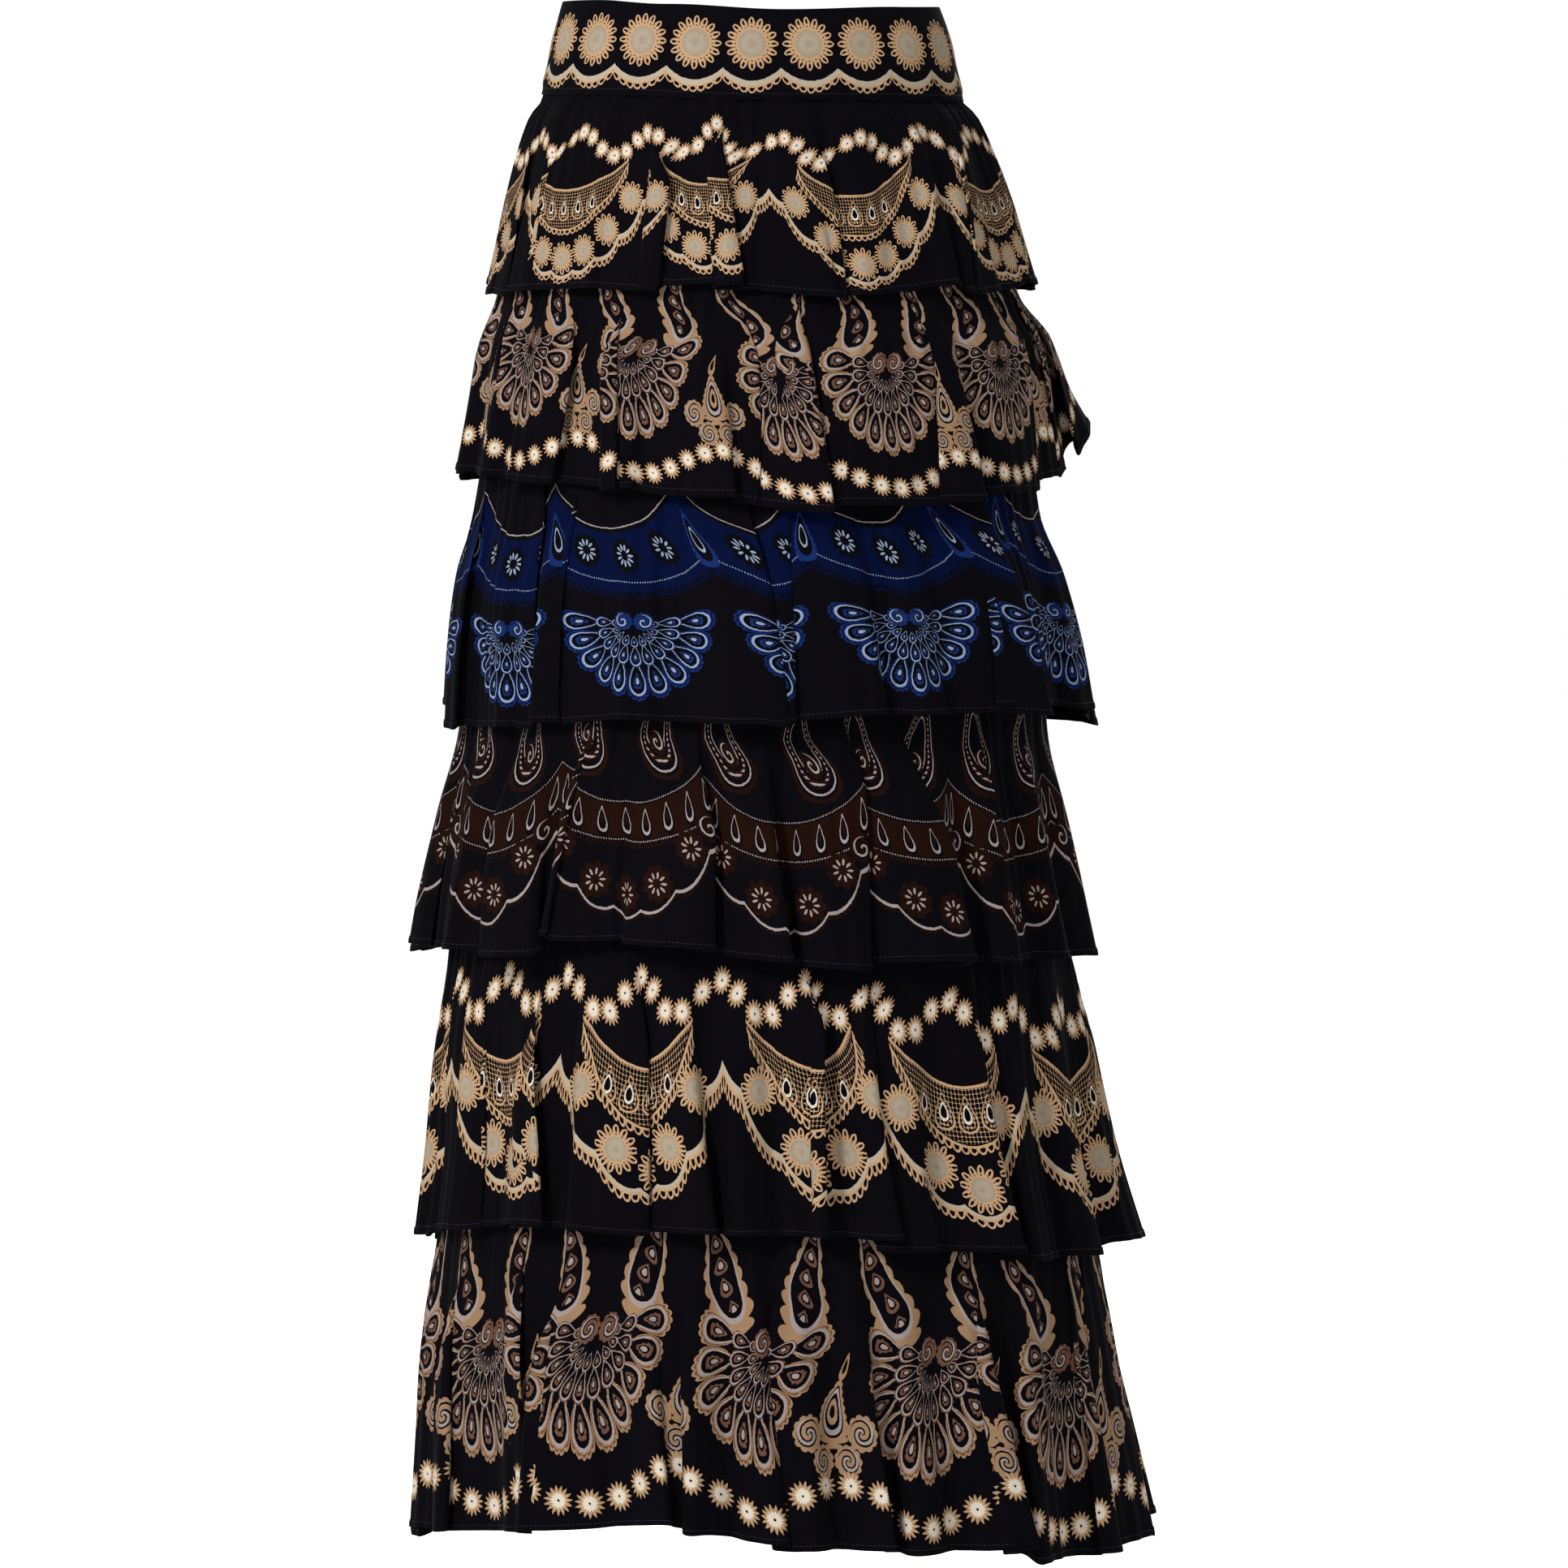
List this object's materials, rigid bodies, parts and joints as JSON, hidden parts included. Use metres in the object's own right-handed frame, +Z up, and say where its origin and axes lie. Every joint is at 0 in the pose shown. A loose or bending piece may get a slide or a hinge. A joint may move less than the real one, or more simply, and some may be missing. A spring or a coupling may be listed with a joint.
{
  "type": "tiered ruffle maxi skirt",
  "caption": "High-waisted maxi skirt with a wide plain waistband and gathered, overlapping flounces on an A-line underskirt, filled out as worn.",
  "frame": {"origin": "middle of the waist opening, at half the waistband's height, where the wearer holds the skirt up", "axes": "+Z up out of the waist, front towards -Y, +X to the viewer's right"},
  "size_m": [0.5036, 0.4058, 1.0365],
  "materials": {
    "waistband": "matte printed crepe",
    "underskirt": "smooth lining cloth",
    "tier_1": "matte printed crepe",
    "tier_2": "matte printed crepe",
    "tier_3": "matte printed crepe",
    "tier_4": "matte printed crepe",
    "tier_5": "matte printed crepe",
    "tier_6": "matte printed crepe"
  },
  "bodies": {
    "root": {"waistband_front": "waistband", "waistband_back": "waistband", "underskirt_front": "underskirt", "underskirt_back": "underskirt", "tier_1_front": "tier_1", "tier_1_back": "tier_1", "tier_2_front": "tier_2", "tier_2_back": "tier_2", "tier_3_front": "tier_3", "tier_3_back": "tier_3", "tier_4_front": "tier_4", "tier_4_back": "tier_4", "tier_5_front": "tier_5", "tier_5_back": "tier_5", "tier_6_front": "tier_6", "tier_6_back": "tier_6"}
  },
  "joints": []
}
